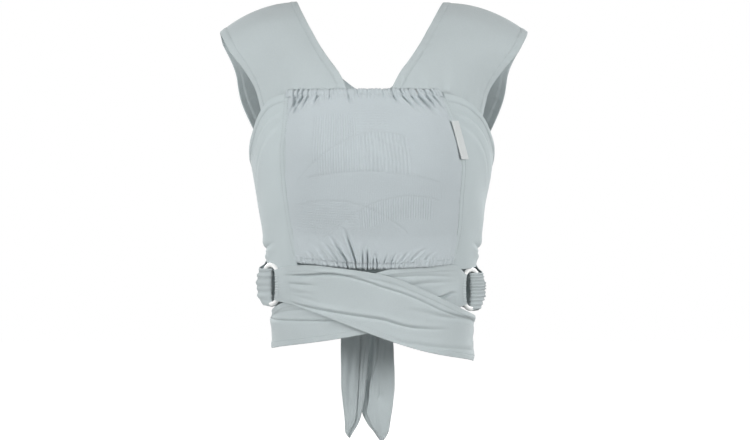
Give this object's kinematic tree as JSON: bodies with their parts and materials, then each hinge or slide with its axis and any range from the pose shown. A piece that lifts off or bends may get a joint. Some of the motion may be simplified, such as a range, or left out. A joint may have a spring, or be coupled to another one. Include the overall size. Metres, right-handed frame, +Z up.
{
  "type": "baby wrap sling",
  "caption": "Wrap carrier that holds a baby against the chest: gathered knit pouch panel, shoulder straps crossing behind, side rings and waist sashes tied at the back.",
  "frame": {"origin": "midway between the two shoulders, level with the highest point of the straps, where the wearer's shoulders carry the sling", "axes": "+X to the viewer's right seen from the front, +Y to the wearer's back, +Z up"},
  "size_m": [0.3833, 0.2397, 0.5573],
  "materials": {
    "jersey": "matt cotton jersey, fine rib, slight stretch",
    "panel_knit": "matt textured cotton knit with a low relief pattern",
    "elastic": "woven elastic",
    "thread": "polyester sewing thread",
    "ring_plastic": "glossy moulded white",
    "label_tape": "woven satin tape, blank"
  },
  "bodies": {
    "sling": {"pouch_front_panel": "panel_knit", "pouch_lining": "jersey", "pouch_top_casing": "panel_knit", "pouch_bottom_casing": "panel_knit", "top_elastic": "elastic", "bottom_elastic": "elastic", "left_panel_seam": "jersey", "right_panel_seam": "jersey", "left_wing": "jersey", "right_wing": "jersey", "left_armhole_hem": "jersey", "right_armhole_hem": "jersey", "left_shoulder_strap": "jersey", "right_shoulder_strap": "jersey", "left_back_strap": "jersey", "right_back_strap": "jersey", "back_cross_patch": "jersey", "strap_anchor_patches": "thread", "left_ring_gather": "jersey", "right_ring_gather": "jersey", "left_sash_root": "jersey", "right_sash_root": "jersey", "left_sash_front": "jersey", "right_sash_front": "jersey", "left_sash_back": "jersey", "right_sash_back": "jersey", "waist_knot": "jersey"},
    "left_ring_body": {"left_ring": "ring_plastic"},
    "right_ring_body": {"right_ring": "ring_plastic"},
    "left_tail_body": {"left_tail": "jersey"},
    "right_tail_body": {"right_tail": "jersey"},
    "side_label_body": {"side_label": "label_tape"}
  },
  "joints": [
    {"name": "left_ring_turn", "type": "hinge", "parent": "sling", "child": "left_ring_body", "pos_m": [-0.124, -0.037, -0.3545], "axis": [-0.866, -0.5, 0], "continuous": true},
    {"name": "right_ring_turn", "type": "hinge", "parent": "sling", "child": "right_ring_body", "pos_m": [0.1215, -0.037, -0.36], "axis": [0.866, -0.5, 0], "continuous": true},
    {"name": "left_tail_swing", "type": "hinge", "parent": "sling", "child": "left_tail_body", "pos_m": [-0.0215, 0.094, -0.422], "axis": [1, 0, 0], "range_deg": [-10, 80]},
    {"name": "right_tail_swing", "type": "hinge", "parent": "sling", "child": "right_tail_body", "pos_m": [0.0135, 0.094, -0.422], "axis": [1, 0, 0], "range_deg": [-10, 80]},
    {"name": "label_flap", "type": "hinge", "parent": "sling", "child": "side_label_body", "pos_m": [0.09522, -0.10761, -0.156], "axis": [0.2612, 0.1544, -0.9529], "range_deg": [0, 100], "stiffness_Nm_per_rad": 0.0002}
  ]
}
